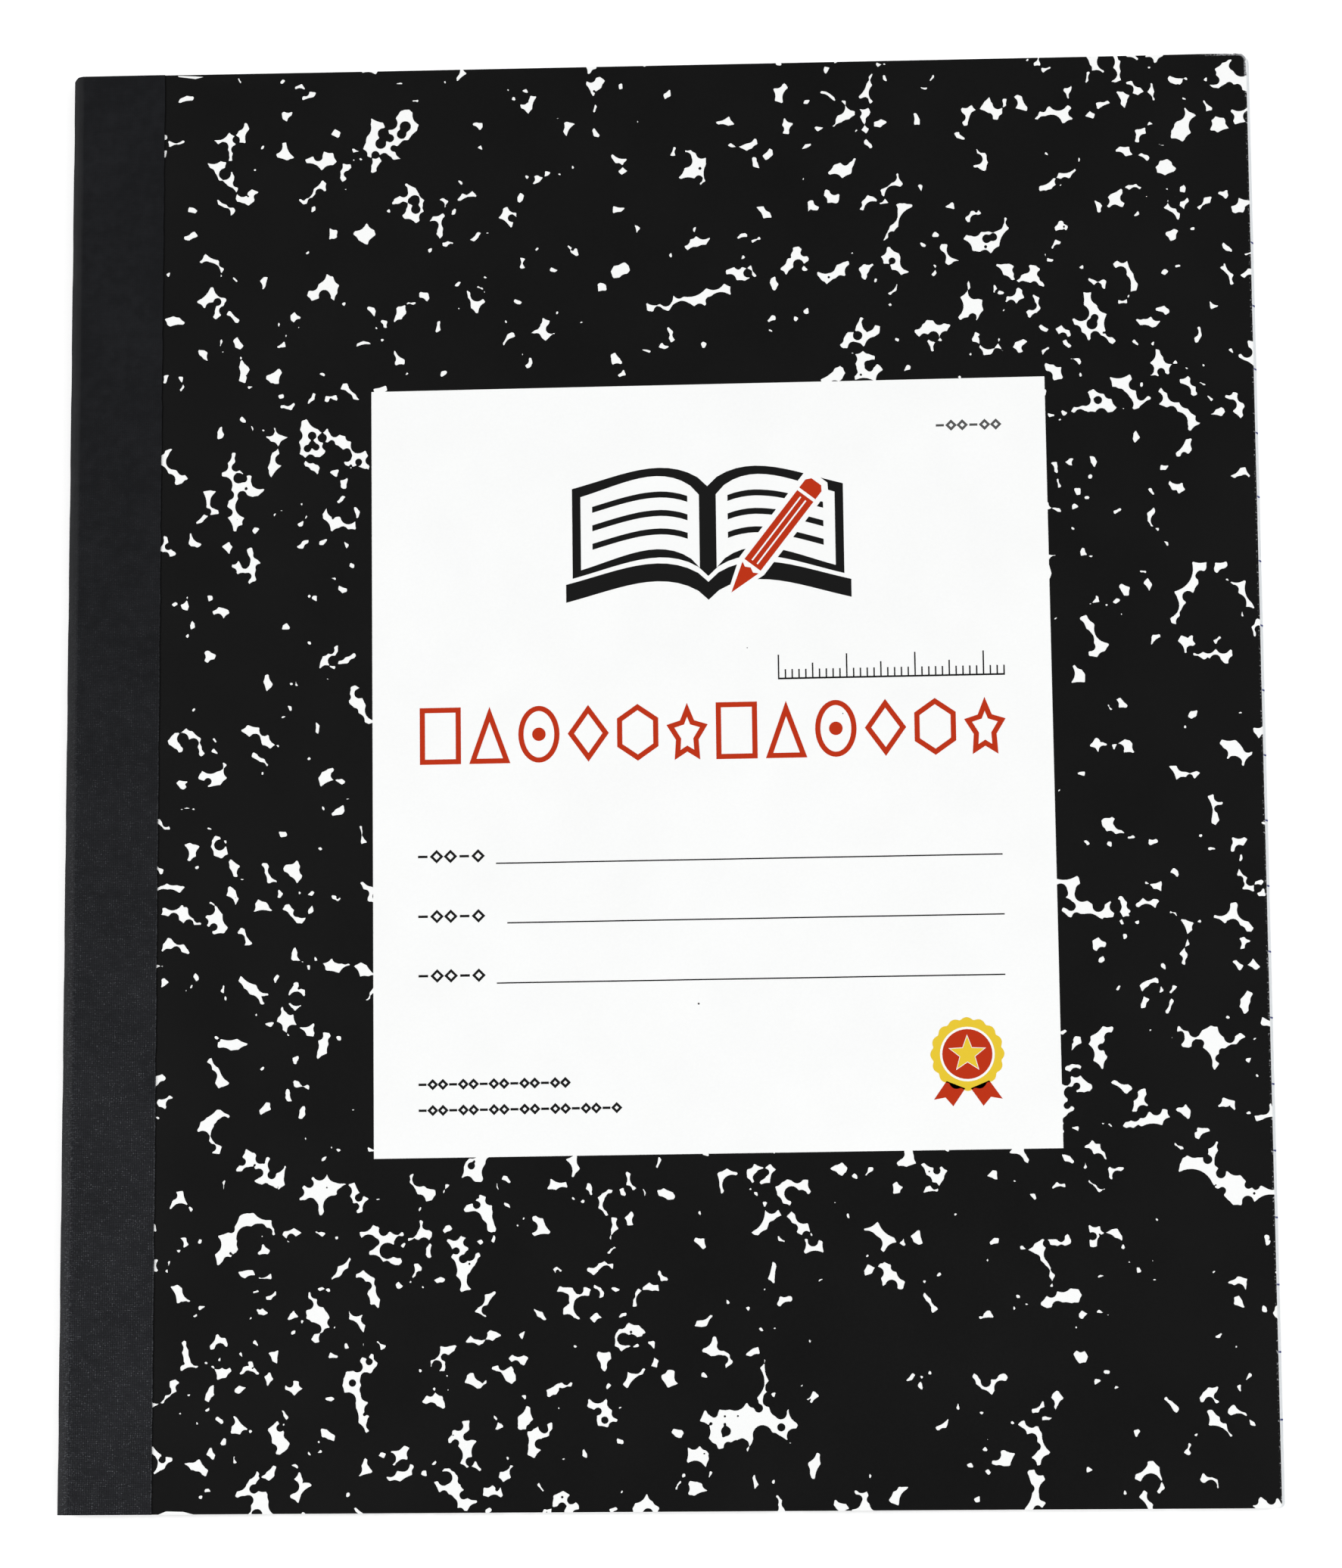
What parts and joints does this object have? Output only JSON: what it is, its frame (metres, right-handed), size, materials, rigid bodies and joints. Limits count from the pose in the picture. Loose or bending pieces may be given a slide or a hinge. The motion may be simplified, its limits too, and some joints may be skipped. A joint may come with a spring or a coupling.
{
  "type": "composition notebook",
  "caption": "Thin sewn notebook with a flexible marbled card cover, a cloth tape over the spine and covers that open flat.",
  "frame": {"origin": "middle of the closed book's footprint, on the surface it lies on", "axes": "+X from the spine to the fore edge, +Y from the tail to the head, +Z out of the front cover"},
  "size_m": [0.1778, 0.216, 0.003],
  "materials": {
    "printed_card": "black and white marbled print on thin white card, satin",
    "book_cloth": "blue-black woven book cloth, filled and slightly glossy",
    "ruled_paper": "white uncoated writing paper with blue rules",
    "sewing_thread": "white twisted cotton thread, matt"
  },
  "bodies": {
    "block": {"page_block": "ruled_paper", "sewing_thread": "sewing_thread", "cover_spine": "printed_card", "tape_spine": "book_cloth"},
    "front_cover": {"front_cover": "printed_card", "tape_front_flap": "book_cloth"},
    "back_cover": {"back_cover": "printed_card", "tape_back_flap": "book_cloth"}
  },
  "joints": [
    {"name": "front_cover_hinge", "type": "hinge", "parent": "block", "child": "front_cover", "pos_m": [-0.08708, 0, 0.00298], "axis": [0, -1, 0], "range_deg": [0, 179.9]},
    {"name": "back_cover_hinge", "type": "hinge", "parent": "block", "child": "back_cover", "pos_m": [-0.08708, 0, 0], "axis": [0, 1, 0], "range_deg": [0, 179.9]}
  ]
}
